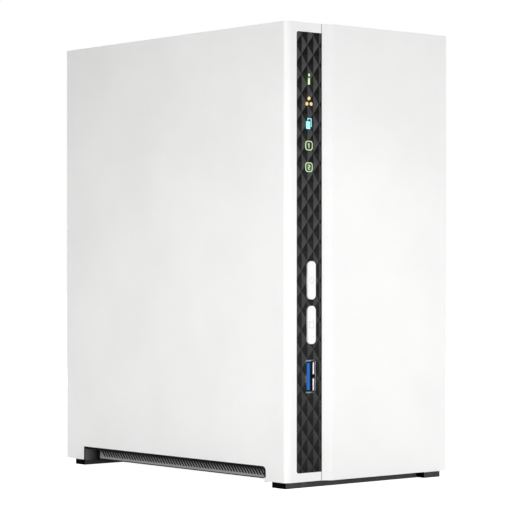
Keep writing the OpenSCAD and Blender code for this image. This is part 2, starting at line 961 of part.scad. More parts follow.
connector_offset = 6;                   // from a drive's board side to its connector
connector_gap = 0.2;                    // between a socket's body and its drive
connector_half = 21;
opening_half = 22;                      // half of the opening in a drive round its connector
opening_h = 5;

module drive_backplane() {
    color(board_green) difference() {
        block([board_face_x - 6.5, backplane_front_y, backplane_z], [36.5, backplane_back_y, backplane_top]);
        for (spot = backplane_spots)
            rod_z(spot.x, spot.y, backplane_z - eps, backplane_top + eps, 1.7);
    }
}

module drive_connector() {
    block([connector_offset - 3, drive_mid_y - connector_half, backplane_top],
          [connector_offset + 3, drive_mid_y + connector_half, drive_low - connector_gap]);
    block([connector_offset - 0.8, drive_mid_y - 19, drive_low - connector_gap],
          [connector_offset + 0.8, drive_mid_y + 19, drive_low + 4]);
}

module drive_connectors() {
    color(black) in_bays() drive_connector();
}

// Puts a drive drawn with its board side at x = 0 into each bay
module in_bays() {
    translate([bay_left_x, 0, 0]) children();
    translate([bay_right_x, 0, 0]) mirror([1, 0, 0]) children();
}

board_recess = 1.8;                     // depth of the recess that holds a drive's board

module drive_casting() {
    low_y = drive_mid_y - drive_w / 2;
    high_y = drive_mid_y + drive_w / 2;
    high_z = drive_low + drive_len;
    cavity_x = 10;
    hub_z = drive_low + 97;
    difference() {
        plate_x(0, drive_t - lid_t) rounded([low_y, drive_low], [high_y, high_z], 2);
        // sealed hollow under the lid
        plate_x(cavity_x, drive_t) rounded([low_y + 4, drive_low + 8], [high_y - 4, high_z - 4], 6);
        // recess for the drive's board, joined to the connector opening
        block([-eps, low_y + 12, drive_low - eps], [board_recess, high_y - 12, drive_low + 66]);
        block([-eps, drive_mid_y - opening_half, drive_low - eps],
              [cavity_x - 1, drive_mid_y + opening_half, drive_low + opening_h]);
        // shallow pan round the spindle motor
        difference() {
            rod_x(drive_mid_y, hub_z, -eps, 1.2, 24);
            rod_x(drive_mid_y, hub_z, -eps - 1, 2, 13);
        }
        for (y = drive_hole_ys, z = drive_hole_zs)
            rod_x(y, z, -eps, 4.2, 1.8);
    }
}

module drive_1_casting() {
    color(steel) translate([bay_left_x, 0, 0]) drive_casting();
}

module drive_2_casting() {
    color(steel) translate([bay_right_x, 0, 0]) mirror([1, 0, 0]) drive_casting();
}

module drive_lids() {
    inset = 0.8;
    color(steel) in_bays()
        plate_x(drive_t - lid_t, drive_t)
            rounded([drive_mid_y - drive_w / 2 + inset, drive_low + inset],
                    [drive_mid_y + drive_w / 2 - inset, drive_low + drive_len - inset], 2);
}

module drive_boards() {
    board_thick = 1.2;
    color(board_green) in_bays()
        difference() {
            block([board_recess - board_thick, drive_mid_y - drive_w / 2 + 12.5, drive_low],
                  [board_recess, drive_mid_y + drive_w / 2 - 12.5, drive_low + 65]);
            block([-eps, drive_mid_y - opening_half, drive_low - eps],
                  [board_recess + eps, drive_mid_y + opening_half, drive_low + opening_h]);
        }
}

// One side plate of the cage, drawn in Y and Z
module cage_side_shape() {
    difference() {
        translate([cage_front_y, cage_low]) square([cage_back_y - cage_front_y, cage_high - cage_low]);
        for (y = [-48, -9], z = [26, 112])
            rounded([y + 2, z], [y + 37, z + 48], 4);
        rounded([-46, 78], [28, 106], 4);
        for (y = drive_hole_ys, z = drive_hole_zs)
            translate([y, z]) circle(2);
        // clearance over the backplane
        translate([backplane_front_y - 2, cage_low - eps])
            square([backplane_back_y - backplane_front_y + 4, backplane_t + 9]);
    }
}

module drive_cage() {
    bridge_h = 20;
    sill_high = cage_low + 10;
    color(steel) difference() {
        union() {
            plate_x(bay_left_x - cage_t, bay_left_x) cage_side_shape();
            plate_x(bay_right_x, bay_right_x + cage_t) cage_side_shape();
            // bridges across the front and back
            for (y = [cage_front_y, cage_back_y - cage_t],
                 z = [[cage_high - bridge_h, cage_high], [cage_low, sill_high]])
                block([bay_left_x - cage_t, y, z[0]], [bay_right_x + cage_t, y + cage_t, z[1]]);
            // bottom flanges on the tray's posts
            for (y = [[cage_front_y, -48], [cage_back_y - 10, cage_back_y]])
                block([bay_left_x - cage_t, y.x, cage_low], [bay_right_x + cage_t, y.y, cage_low + cage_t]);
        }
        for (spot = cage_screw_spots)
            rod_z(spot.x, spot.y, cage_low - eps, cage_low + cage_t + eps, 1.7);
    }
}

// ---------------------------------------------------------------- fan

module at_fan() {
    translate([fan_x, 0, fan_z]) children();
}

module fan_frame() {
    strut_t = 1.5;
    half = fan_size / 2;
    color(black) at_fan() {
        plate_y(fan_y, fan_back_y) difference() {
            rounded([-half, -half], [half, half], 4);
            circle(fan_bore_r);
            for (x = [-fan_hole, fan_hole], z = [-fan_hole, fan_hole])
                translate([x, z]) circle(1.9);
        }
        // motor plate on four struts
        plate_y(fan_back_y - strut_t, fan_back_y) {
            circle(hub_r + 0.5);
            for (turn = [20:90:290])
                rotate(turn) translate([hub_r, -1.2]) square([fan_bore_r - hub_r + 0.5, 2.4]);
        }
    }
}

module fan_rotor() {
    cup_t = 1.2;
    cup_y = fan_y + 0.8;
    cup_back_y = fan_back_y - 2.1;
    blade_r = fan_bore_r - 0.8;
    blade_t = 1.3;
    blade_pitch = 38;
    color(dark_grey) at_fan() {
        difference() {
            rod_y(0, 0, cup_y, cup_back_y, hub_r);
            rod_y(0, 0, cup_y + cup_t, cup_back_y + eps, hub_r - cup_t);
            rod_y(0, 0, cup_y - eps, cup_y + cup_t + eps, shaft_r);
        }
        intersection() {
            difference() {
                rod_y(0, 0, cup_y + 0.2, cup_back_y - 0.4, blade_r);
                rod_y(0, 0, cup_y - eps, cup_back_y, hub_r - 0.3);
            }
            for (i = [0:fan_blades - 1])
                rotate([0, i * 360 / fan_blades, 0])
                    translate([0, (cup_y + cup_back_y) / 2, 0])
                        rotate([blade_pitch, 0, 0])
                            translate([hub_r - 1, -12, -blade_t / 2]) cube([blade_r, 24, blade_t]);
        }
    }
}

module fan_magnet() {
    ring_r = hub_r - 1.2;
    color([0.2, 0.2, 0.22]) at_fan() difference() {
        rod_y(0, 0, fan_y + 3, fan_back_y - 2.4, ring_r);
        rod_y(0, 0, fan_y + 3 - eps, fan_back_y, ring_r - 1);
    }
}

module fan_shaft() {
    color(steel) at_fan() rod_y(0, 0, fan_y + 0.8, fan_back_y - 1.8, shaft_r);
}

module fan_bearing() {
    color(gold) at_fan() difference() {
        rod_y(0, 0, fan_y + 4, fan_back_y - 1.5, 3);
        rod_y(0, 0, fan_y + 4 - eps, fan_back_y - 1.5 + eps, shaft_r + 0.05);
    }
}

module fan_stator() {
    color([0.72, 0.36, 0.15]) at_fan() plate_y(fan_y + 4.5, fan_back_y - 3.5) difference() {
        circle(11);
        circle(3.1);
        for (turn = [0:90:270])
            rotate(turn) translate([4.6, -0.9]) square([8, 1.8]);
    }
}

lead_y = 66;
lead_x = -14;
lead_r = 1.1;
lead_bend = 4;
plug_z = 80;
plug_x = board_face_x + board_t + 6;

// Lead from the fan's lower edge, round one bend and into its plug
module fan_lead() {
    fan_low = fan_z - fan_size / 2;
    color(black) {
        rod_z(lead_x, lead_y, plug_z + lead_bend, fan_low, lead_r);
        translate([lead_x - lead_bend, lead_y, plug_z + lead_bend]) rotate([90, 0, 0]) rotate(-90)
            rotate_extrude(angle = 90) translate([lead_bend, 0]) circle(lead_r);
        rod_x(lead_y, plug_z, plug_x, lead_x - lead_bend, lead_r);
    }
}

module fan_plug() {
    color(white) block([board_face_x + board_t, lead_y - 3.8, plug_z - 3], [plug_x, lead_y + 3.8, plug_z + 3]);
}

// ---------------------------------------------------------------- screws

module case_screws() {
    color(steel)
        for (x = case_screw_xs)
            translate([x, panel_back_y, case_screw_z]) rotate([-90, 0, 0]) screw(1.5, 10, 3.2, 2);
}

module drive_screws() {
    color(steel)
        for (y = drive_hole_ys, z = drive_hole_zs) {
            translate([bay_left_x - cage_t, y, z]) rotate([0, -90, 0]) screw(1.7, 4.5, 3.3, 1.8);
            translate([bay_right_x + cage_t, y, z]) rotate([0, 90, 0]) screw(1.7, 4.5, 3.3, 1.8);
        }
}

module fan_screws() {
    color(black) at_fan()
        for (x = [-fan_hole, fan_hole], z = [-fan_hole, fan_hole])
            translate([x, panel_back_y, z]) rotate([-90, 0, 0]) screw(1.75, 9, 3.2, 1.8);
}

// Small screws that hold the rear panel, the boards and the cage
module chassis_screws() {
    color(steel) {
        for (z = panel_screw_zs)
            translate([panel_screw_x, panel_back_y, z]) rotate([-90, 0, 0]) screw(1.15, 7, 2.8, 1.6);
        for (spot = board_holes)
            translate([board_face_x + board_t, spot.x, spot.y]) rotate([0, 90, 0]) screw(1.15, 7, 2.8, 1.6);
        for (spot = cage_screw_spots)
            translate([spot.x, spot.y, cage_low + cage_t]) screw(1.15, 3.8, 2.8, 1.6);
        for (spot = backplane_spots)
            translate([spot.x, spot.y, backplane_top]) screw(1.15, 5.5, 2.8, 1.6);
    }
}

// ---------------------------------------------------------------- nodes

left_shell();
right_cover();
base_tray();
left_vent();
right_vent();
front_strip();
rear_panel();
front_foot();
rear_foot();
cover_feet();
status_light();
network_light();
copy_light();
drive_1_light();
drive_2_light();
light_guide();
indicator_leds();
power_button();
copy_button();
button_switches();
power_plunger();
copy_plunger();
front_usb_shell();
front_usb_tongue();
front_usb_contacts();
main_board();
processor();
heat_sink();
memory_chips();
clock_battery();
battery_holder();
network_jack();
rear_usb_shells();
rear_usb_tongues();
rear_contacts();
power_jack();
power_pin();
reset_switch();
reset_plunger();
link_connectors();
drive_backplane();
drive_connectors();
drive_cage();
drive_1_casting();
drive_2_casting();
drive_lids();
drive_boards();
fan_frame();
fan_rotor();
fan_magnet();
fan_shaft();
fan_bearing();
fan_stator();
fan_lead();
fan_plug();
case_screws();
drive_screws();
fan_screws();
chassis_screws();
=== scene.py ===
"""Looks of a two-bay network attached storage unit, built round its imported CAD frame."""

import json
import math

import bpy
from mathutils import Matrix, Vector


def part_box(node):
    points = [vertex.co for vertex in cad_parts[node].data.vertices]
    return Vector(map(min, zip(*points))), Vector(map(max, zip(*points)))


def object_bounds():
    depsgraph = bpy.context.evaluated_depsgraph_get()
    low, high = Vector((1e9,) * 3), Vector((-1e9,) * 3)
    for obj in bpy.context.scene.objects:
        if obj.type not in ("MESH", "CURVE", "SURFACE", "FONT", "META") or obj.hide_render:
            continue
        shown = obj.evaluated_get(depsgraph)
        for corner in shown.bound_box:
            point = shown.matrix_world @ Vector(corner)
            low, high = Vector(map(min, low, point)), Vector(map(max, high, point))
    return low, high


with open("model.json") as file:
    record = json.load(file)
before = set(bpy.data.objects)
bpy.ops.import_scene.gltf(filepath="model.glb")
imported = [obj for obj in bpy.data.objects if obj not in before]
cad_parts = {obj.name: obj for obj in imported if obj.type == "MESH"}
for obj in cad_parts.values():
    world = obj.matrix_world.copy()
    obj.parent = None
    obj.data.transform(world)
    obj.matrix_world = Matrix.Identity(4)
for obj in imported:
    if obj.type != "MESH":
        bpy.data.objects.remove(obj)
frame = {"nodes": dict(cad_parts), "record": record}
cad_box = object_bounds()
NODES = frame["nodes"]
MM = 0.001


# ---------------------------------------------------------------- shader helpers

class Shader:
    """A material with a Principled shader and short calls that add nodes to it."""

    def __init__(self, name):
        self.material = bpy.data.materials.new(name)
        self.material.use_nodes = True
        self.tree = self.material.node_tree
        self.principled = self.tree.nodes["Principled BSDF"]

    def node(self, kind, **settings):
        made = self.tree.nodes.new(kind)
        for key, value in settings.items():
            setattr(made, key, value)
        return made

    def link(self, source, target):
        self.tree.links.new(source, target)

    def set(self, **values):
        for key, value in values.items():
            self.principled.inputs[key.replace("_", " ")].default_value = value
        return self

    def separate(self, vector):
        """The X, Y and Z outputs of a vector."""
        made = self.node("ShaderNodeSeparateXYZ")
        self.link(vector, made.inputs["Vector"])
        return made.outputs

    def facing(self):
        """X, Y and Z of the facet's own direction, in the object's frame."""
        return self.separate(self.node("ShaderNodeNewGeometry").outputs["True Normal"])

    def place(self, stretch=(1, 1, 1)):
        """Object coordinates in metres, stretched along the axes."""
        coordinates = self.node("ShaderNodeTexCoord")
        mapping = self.node("ShaderNodeMapping")
        mapping.inputs["Scale"].default_value = stretch
        self.link(coordinates.outputs["Object"], mapping.inputs["Vector"])
        return mapping.outputs["Vector"]

    def noise(self, size, detail=3.0, stretch=(1, 1, 1), rough=0.5):
        """Noise whose blotches are about `size` metres across."""
        texture = self.node("ShaderNodeTexNoise")
        texture.inputs["Scale"].default_value = 1 / size
        texture.inputs["Detail"].default_value = detail
        texture.inputs["Roughness"].default_value = rough
        self.link(self.place(stretch), texture.inputs["Vector"])
        return texture.outputs["Fac"]

    def cells(self, size, distance="EUCLIDEAN"):
        """Cells about `size` metres across, each with a colour of its own."""
        texture = self.node("ShaderNodeTexVoronoi", distance=distance)
        texture.inputs["Scale"].default_value = 1 / size
        self.link(self.place(), texture.inputs["Vector"])
        return texture

    def ramp(self, factor, stops):
        """Colour ramp through (position, colour) stops."""
        made = self.node("ShaderNodeValToRGB")
        elements = made.color_ramp.elements
        while len(elements) < len(stops):
            elements.new(0.5)
        for element, (position, colour) in zip(elements, stops):
            element.position = position
            element.color = (*colour, 1)
        self.link(factor, made.inputs["Fac"])
        return made.outputs["Color"]

    def math(self, operation, first, second=0.0):
        made = self.node("ShaderNodeMath", operation=operation)
        for socket, value in zip(made.inputs, (first, second)):
            if isinstance(value, (int, float)):
                socket.default_value = value
            else:
                self.link(value, socket)
        return made.outputs["Value"]

    def mix(self, factor, first, second):
        """Blends two colours, each a socket or a plain colour."""
        made = self.node("ShaderNodeMix", data_type="RGBA")
        if isinstance(factor, (int, float)):
            made.inputs[0].default_value = factor
        else:
            self.link(factor, made.inputs[0])
        for socket, value in ((made.inputs[6], first), (made.inputs[7], second)):
            if isinstance(value, tuple):
                socket.default_value = (*value, 1)
            else:
                self.link(value, socket)
        return made.outputs[2]

    def colour(self, output):
        self.link(output, self.principled.inputs["Base Color"])
        return self

    def colour_so_far(self):
        """The output that colours the material at this point."""
        return self.principled.inputs["Base Color"].links[0].from_socket

    def spread(self, value, start, end, low=0.0, high=1.0):
        """Maps start..end to low..high, held at both ends."""
        made = self.node("ShaderNodeMapRange")
        for name, number in (("From Min", start), ("From Max", end), ("To Min", low), ("To Max", high)):
            made.inputs[name].default_value = number
        self.link(value, made.inputs["Value"])
        return made.outputs["Result"]

    def roughness(self, factor, low, high):
        self.link(self.spread(factor, 0, 1, low, high), self.principled.inputs["Roughness"])
        return self

    def bump(self, height, depth):
        """Bump whose full height is `depth` metres."""
        made = self.node("ShaderNodeBump")
        made.inputs["Strength"].default_value = 1
        made.inputs["Distance"].default_value = depth
        self.link(height, made.inputs["Height"])
        self.link(made.outputs["Normal"], self.principled.inputs["Normal"])
        return self


def shade(colour, factor):
    """A colour made darker or paler, channel by channel."""
    return tuple(min(1.0, channel * factor) for channel in colour)


def cool_grey(value):
    """Grey with a trace of blue."""
    return (value, value, value * 1.015)


# ---------------------------------------------------------------- materials

WHITE = (0.86, 0.86, 0.855)
NEAR_BLACK = (0.004, 0.004, 0.004)
SHADED_EDGE = (0.5, 0.5, 0.5)           # the cover's edge, where the seam's shade falls on it
MARK_GREY = (0.55, 0.55, 0.56)
NO_LIGHT = (0.0, 0.0, 0.0)
VIA_TIN = (0.5, 0.42, 0.24)
WALL_FACING = 0.7                       # a facet faces an axis when its direction's share is above this


def moulded_plastic(name, colour, grain=0.5 * MM, depth=0.012 * MM, rough=(0.42, 0.52), spread=0.02):
    """Plastic with a fine spark-eroded grain and a faint unevenness of tone."""
    s = Shader(name)
    tone = s.noise(30 * MM, 2.0)
    s.colour(s.ramp(tone, [(0.3, shade(colour, 1 - spread)), (0.7, shade(colour, 1 + spread))]))
    texture = s.noise(grain, 4.0, rough=0.65)
    s.roughness(texture, *rough)
    s.bump(texture, depth)
    return s


def sheet_metal(name, colour, along="z", rough=(0.28, 0.42), spread=0.08):
    """Metal sheet with fine drawn lines along one axis and a cloudy plating."""
    s = Shader(name)
    stretch = {"x": (0.03, 1, 1), "y": (1, 0.03, 1), "z": (1, 1, 0.03)}[along]
    lines = s.noise(0.5 * MM, 3.0, stretch, 0.7)
    cloud = s.noise(9 * MM, 4.0)
    blend = s.math("ADD", s.math("MULTIPLY", lines, 0.5), s.math("MULTIPLY", cloud, 0.5))
    s.colour(s.ramp(blend, [(0.35, shade(colour, 1 - spread)), (0.65, shade(colour, 1 + spread))]))
    s.roughness(blend, *rough)
    s.bump(lines, 0.006 * MM)
    return s.set(Metallic=1.0)


def galvanised(name, colour):
    """Zinc-coated steel with crystal spangles."""
    s = Shader(name)
    cells = s.cells(5 * MM)
    grey = s.node("ShaderNodeRGBToBW")
    s.link(cells.outputs["Color"], grey.inputs["Color"])
    s.colour(s.ramp(grey.outputs["Val"], [(0.2, shade(colour, 0.86)), (0.8, shade(colour, 1.1))]))
    s.roughness(grey.outputs["Val"], 0.3, 0.5)
    s.bump(s.noise(0.7 * MM, 4.0), 0.006 * MM)
    return s.set(Metallic=1.0)


def cast_metal(name, colour):
    """Die-cast aluminium: matt, with a pitted skin."""
    s = Shader(name)
    cloud = s.noise(14 * MM, 5.0)
    skin = s.noise(0.6 * MM, 5.0, rough=0.7)
    s.colour(s.ramp(cloud, [(0.3, shade(colour, 0.88)), (0.7, shade(colour, 1.08))]))
    s.roughness(skin, 0.42, 0.62)
    s.bump(skin, 0.03 * MM)
    return s.set(Metallic=1.0)


def rubber(name, colour):
    """Matt rubber with a rough skin."""
    s = Shader(name)
    tone = s.noise(6 * MM, 4.0)
    s.colour(s.ramp(tone, [(0.3, shade(colour, 0.8)), (0.7, shade(colour, 1.25))]))
    skin = s.noise(0.35 * MM, 4.0, rough=0.7)
    s.roughness(skin, 0.7, 0.9)
    s.bump(skin, 0.02 * MM)
    return s


def circuit_board(name, colour):
    """Solder mask over copper tracks that run straight within square patches, with small vias."""
    s = Shader(name)
    track_colour = shade(colour, 1.75)
    track_pitch = 0.9 * MM
    track_share = 0.42
    patches = s.cells(11 * MM, "CHEBYCHEV")
    pick = s.node("ShaderNodeSeparateColor")
    s.link(patches.outputs["Color"], pick.inputs["Color"])
    place = s.separate(s.place())

    def stripes(axis):
        wave = s.math("FRACT", s.math("MULTIPLY", place[axis], 1 / track_pitch))
        return s.math("LESS_THAN", wave, track_share)

    upright = s.math("GREATER_THAN", pick.outputs["Red"], 0.5)
    one = s.math("MULTIPLY", stripes("Y"), upright)
    other = s.math("MULTIPLY", stripes("Z"), s.math("SUBTRACT", 1.0, upright))
    filled = s.math("GREATER_THAN", pick.outputs["Green"], 0.35)
    tracks = s.math("MULTIPLY", s.math("ADD", one, other), filled)
    vias = s.math("LESS_THAN", s.cells(4.2 * MM).outputs["Distance"], 0.1)
    green = s.mix(s.math("MULTIPLY", tracks, 0.8), colour, track_colour)
    s.colour(s.mix(vias, green, VIA_TIN))
    s.roughness(s.noise(3 * MM), 0.22, 0.36)
    s.bump(tracks, 0.03 * MM)
    return s


def glow(name, core, rim, strength):
    """Lit sign: the light is a little stronger in patches, as through a diffuser."""
    s = Shader(name)
    patch = s.noise(1.2 * MM, 2.0)
    tint = s.ramp(patch, [(0.35, rim), (0.6, core)])
    s.colour(s.mix(0.9, tint, NO_LIGHT))
    s.link(tint, s.principled.inputs["Emission Color"])
    return s.set(Emission_Strength=strength, Roughness=0.35, Specular_IOR_Level=0.1)


def clear_plastic(name, colour):
    """Clear plastic that guides light."""
    s = Shader(name)
    tone = s.noise(4 * MM)
    s.colour(s.ramp(tone, [(0.3, shade(colour, 0.96)), (0.7, colour)]))
    s.roughness(tone, 0.08, 0.18)
    return s.set(Transmission_Weight=0.85, IOR=1.49)


def centre_of(node):
    """The middle of a CAD node's box."""
    low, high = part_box(node)
    return (low + high) / 2


def faceted_painted_shade_and_glow(name, painted_glows):
    """Satin black strip with painted light and shade: facets that lean left are near black, facets that lean
    right are paler and paler towards the top, and each lit sign's glow is painted round it.
    """
    s = Shader(name)
    place = s.place()
    low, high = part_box("front_strip")
    # painted light: the paler facets grow paler towards the top of the strip
    rise = s.spread(s.separate(place)["Z"], low.z, high.z)
    pale = s.mix(rise, (0.026, 0.026, 0.027), (0.056, 0.056, 0.058))
    slight = 0.02                       # sideways share of a facet's direction
    # painted shade: facets that lean left are near black, those that lean right take the paler tone
    painted_shade_by_lean = s.spread(s.facing()["X"], -slight, slight)
    s.colour(s.mix(painted_shade_by_lean, (0.0035, 0.0035, 0.004), pale))
    # painted glow: round each lit sign the strip gives off the sign's tint as emission
    light = NO_LIGHT
    for node, tint, reach in painted_glows:
        distance = s.node("ShaderNodeVectorMath", operation="DISTANCE")
        distance.inputs[1].default_value = centre_of(node)
        s.link(place, distance.inputs[0])
        near = s.spread(distance.outputs["Value"], reach, reach * 0.35)
        light = s.mix(near, light, tint)
    s.link(light, s.principled.inputs["Emission Color"])
    grain = s.noise(0.25 * MM, 3.0)
    s.roughness(grain, 0.4, 0.5)
    s.bump(grain, 0.003 * MM)
    return s.set(Emission_Strength=1.0, Specular_IOR_Level=0.12)


def cover_plastic(name):
    """White plastic with painted shade on its edge along the seam: grey, and near black where it borders the
    dark strip.
    """
    s = moulded_plastic(name, WHITE)
    seam_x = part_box("right_cover")[0].x
    tolerance = 0.02 * MM
    strip_low, strip_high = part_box("front_strip")
    place = s.separate(s.place())
    at_edge = s.math("LESS_THAN", place["X"], seam_x + tolerance)
    beside = s.math("MULTIPLY", s.math("GREATER_THAN", place["Z"], strip_low.z),
                    s.math("LESS_THAN", place["Z"], strip_high.z))
    # painted shade on the seam edge: grey, near black beside the strip
    edge = s.mix(beside, SHADED_EDGE, NEAR_BLACK)
    return s.colour(s.mix(at_edge, s.colour_so_far(), edge))


def vent_plastic(name):
    """Dark plastic of a side notch with painted shade: black under its roof, palest just above the lower rim,
    and darker deeper in on its end walls.
    """
    s = moulded_plastic(name, NEAR_BLACK, depth=0.02 * MM, rough=(0.5, 0.62), spread=0.1)
    black = s.colour_so_far()
    low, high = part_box("left_vent")
    lining_depth = 7 * MM
    square_on = 0.99                    # the facet's share along the notch at its end walls
    place = s.separate(s.place())
    facing = s.facing()
    outward = s.math("GREATER_THAN", s.math("ABSOLUTE", facing["X"]), WALL_FACING)
    along = s.math("GREATER_THAN", s.math("ABSOLUTE", facing["Y"]), square_on)
    depth = s.spread(s.math("ABSOLUTE", place["X"]), -low.x, -low.x - lining_depth)
    rise = s.spread(place["Z"], low.z, high.z)
    # height up the notch, and the painted shade of the perforated wall there: palest just above the lower
    # rim, black under the roof
    painted_shade_ramp = [(0.0, 0.02), (0.05, 0.02), (0.1, 0.36), (0.24, 0.3), (0.46, 0.19), (0.6, 0.09), (0.68, 0.02),
            (0.76, 0.001)]
    wall = s.ramp(rise, [(height, cool_grey(grey)) for height, grey in painted_shade_ramp])
    # painted shade: the end walls grey at the mouth, darker deeper in
    end = s.mix(depth, cool_grey(0.16), shade(NEAR_BLACK, 1.5))
    inner = s.mix(outward, s.mix(along, black, end), wall)
    # the lining's own edge, level with the case, is black, and white at its front foot
    foot_h = 1.7 * MM
    foot = s.math("MULTIPLY", s.math("LESS_THAN", place["Z"], low.z + foot_h),
                  s.math("LESS_THAN", place["Y"], 0.0))
    edge = s.mix(foot, black, WHITE)
    level = s.math("LESS_THAN", depth, 0.01)
    s.colour(s.mix(s.math("MULTIPLY", level, outward), inner, edge))
    return s.set(Specular_IOR_Level=0.1)


def foot_rubber(name):
    """Black rubber with painted light: the long faces that look forward are a mottled grey."""
    s = rubber(name, (0.0015, 0.0015, 0.0015))
    black = s.colour_so_far()
    # painted light: the forward-looking faces grey, as lit from the front
    painted_front_light = s.ramp(s.noise(3 * MM, 4.0), [(0.3, (0.048, 0.048, 0.05)), (0.7, (0.066, 0.066, 0.068))])
    forward = s.math("LESS_THAN", s.facing()["Y"], -WALL_FACING)
    s.colour(s.mix(forward, black, painted_front_light))
    return s.set(Specular_IOR_Level=0.05)


def sign_plastic(name, node, sign):
    """White button plastic with a faint grey sign printed on its middle: a power mark or a copy mark."""
    s = moulded_plastic(name, WHITE)
    middle = centre_of(node)
    place = s.separate(s.place())
    across = s.math("SUBTRACT", place["X"], middle.x)
    up = s.math("SUBTRACT", place["Z"], middle.z)
    stroke = 0.22 * MM                  # half the width of a line
    stem_stroke = stroke * 0.8

    def bar(value, centre, half):
        return s.math("LESS_THAN", s.math("ABSOLUTE", s.math("SUBTRACT", value, centre)), half)

    # across, up and the distance from the middle pick out each line of the sign
    if sign == "power":
        ring_r = 1.15 * MM
        gap_half = 0.5 * MM
        stem_z = 1.0 * MM
        stem_half = 0.7 * MM
        radius = s.math("SQRT", s.math("ADD", s.math("MULTIPLY", across, across), s.math("MULTIPLY", up, up)))
        open_top = s.math("MULTIPLY", bar(across, 0, gap_half), s.math("GREATER_THAN", up, 0.0))
        ring = s.math("MULTIPLY", bar(radius, ring_r, stroke), s.math("SUBTRACT", 1.0, open_top))
        stem = s.math("MULTIPLY", bar(across, 0, stem_stroke), bar(up, stem_z, stem_half))
        mark = s.math("MAXIMUM", ring, stem)
    else:
        square_half = 1.2 * MM
        tab_half = 0.6 * MM
        reach = s.math("MAXIMUM", s.math("ABSOLUTE", across), s.math("ABSOLUTE", up))
        tab = s.math("MULTIPLY", bar(across, square_half - stroke, stroke),
                     bar(up, square_half + tab_half, tab_half))
        mark = s.math("MAXIMUM", bar(reach, square_half, stroke), tab)
    faint = s.math("MULTIPLY", mark, 0.5)
    return s.colour(s.mix(faint, s.colour_so_far(), MARK_GREY))


def tongue_plastic(name):
    """Blue plastic of the socket's tongue, with painted shade that deepens its colour towards its two edges.
    """
    s = moulded_plastic(name, (0.012, 0.1, 0.5), depth=0.004 * MM, rough=(0.4, 0.5), spread=0.05)
    contacts_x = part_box("front_usb_contacts")[0].x
    tongue_t = 2.1 * MM
    across = s.spread(s.separate(s.place())["X"], contacts_x - tongue_t, contacts_x)
    # painted shade: deep blue at the two edges, bright blue in the middle
    painted_shade_blue = (0.003, 0.025, 0.11)
    core = (0.014, 0.155, 0.5)
    s.colour(s.ramp(across, [(0.0, painted_shade_blue), (0.35, core), (0.6, core), (1.0, painted_shade_blue)]))
    return s.set(Specular_IOR_Level=0.1)


def socket_steel(name):
    """Steel of the front socket: its lip, at its two ends, has painted shade at the right and a painted
    bluish highlight at the left.
    """
    s = sheet_metal(name, (0.6, 0.6, 0.61), "y")
    middle = centre_of("front_usb_shell")
    place = s.separate(s.place())
    from_middle = s.math("ABSOLUTE", s.math("SUBTRACT", place["Z"], middle.z))
    opening_half = 6.25 * MM
    painted_highlight_x = middle.x - 0.4 * MM
    painted_shade_x = middle.x + 0.6 * MM
    # painted shade and highlight on the forward-facing lip at both ends: bluish at the left, near black at
    # the right, and not metallic
    at_end = s.math("GREATER_THAN", from_middle, opening_half)
    forward = s.math("LESS_THAN", s.facing()["Y"], -WALL_FACING)
    lip = s.math("MULTIPLY", at_end, forward)
    blend = s.spread(place["X"], painted_highlight_x, painted_shade_x)
    s.colour(s.mix(lip, s.colour_so_far(), s.mix(blend, (0.16, 0.24, 0.27), NEAR_BLACK)))
    s.link(s.math("SUBTRACT", 1.0, lip), s.principled.inputs["Metallic"])
    return s


def winding(name, colour):
    """Enamelled copper wire, wound in close turns."""
    s = Shader(name)
    wave = s.node("ShaderNodeTexWave", wave_type="BANDS", bands_direction="Y")
    wave.inputs["Scale"].default_value = 1 / (2.2 * MM)
    s.link(s.place(), wave.inputs["Vector"])
    s.colour(s.ramp(wave.outputs["Fac"], [(0.2, shade(colour, 0.35)), (0.7, colour)]))
    s.roughness(wave.outputs["Fac"], 0.2, 0.4)
    s.bump(wave.outputs["Fac"], 0.12 * MM)
    return s.set(Metallic=0.85)


PLASTIC_WHITE = moulded_plastic("white_plastic", WHITE)
DARK = moulded_plastic("dark_plastic", (0.03, 0.03, 0.031), depth=0.02 * MM, rough=(0.5, 0.62), spread=0.1)
BLACK = moulded_plastic("black_plastic", (0.014, 0.014, 0.015), rough=(0.38, 0.5), spread=0.12)
BLUE = tongue_plastic("blue_plastic")
CHIP = moulded_plastic("chip_plastic", (0.02, 0.02, 0.021), 0.2 * MM, 0.01 * MM, (0.5, 0.65), 0.12)
LED = moulded_plastic("led_plastic", (0.8, 0.77, 0.55), rough=(0.2, 0.3))
STEEL = sheet_metal("port_steel", (0.6, 0.6, 0.61), "y")
SCREW = sheet_metal("screw_steel", (0.58, 0.58, 0.59), "x")
SHAFT = sheet_metal("shaft_steel", (0.62, 0.62, 0.62), "y", (0.15, 0.25))
BLACK_STEEL = sheet_metal("black_steel", (0.035, 0.035, 0.037), "x", (0.35, 0.5))
LID = sheet_metal("lid_steel", (0.58, 0.59, 0.6), "z", (0.22, 0.34))
SINK = sheet_metal("sink_aluminium", (0.62, 0.63, 0.64), "z", (0.3, 0.42))
GOLD = sheet_metal("gold_contacts", (0.76, 0.54, 0.2), "y", (0.18, 0.3))
BRASS = sheet_metal("bearing_brass", (0.55, 0.38, 0.16), "y")
CAGE = galvanised("cage_steel", (0.55, 0.56, 0.57))
CAST = cast_metal("cast_aluminium", (0.4, 0.4, 0.41))
IRON = cast_metal("magnet_iron", (0.06, 0.06, 0.065))
RUBBER = foot_rubber("foot_rubber")
BOARD = circuit_board("circuit_board", (0.008, 0.075, 0.035))
CLEAR = clear_plastic("clear_plastic", (0.9, 0.94, 0.95))
COVER = cover_plastic("cover_plastic")
VENT = vent_plastic("vent_plastic")
SOCKET = socket_steel("socket_steel")
POWER_BUTTON = sign_plastic("power_button_plastic", "power_button", "power")
COPY_BUTTON = sign_plastic("copy_button_plastic", "copy_button", "copy")
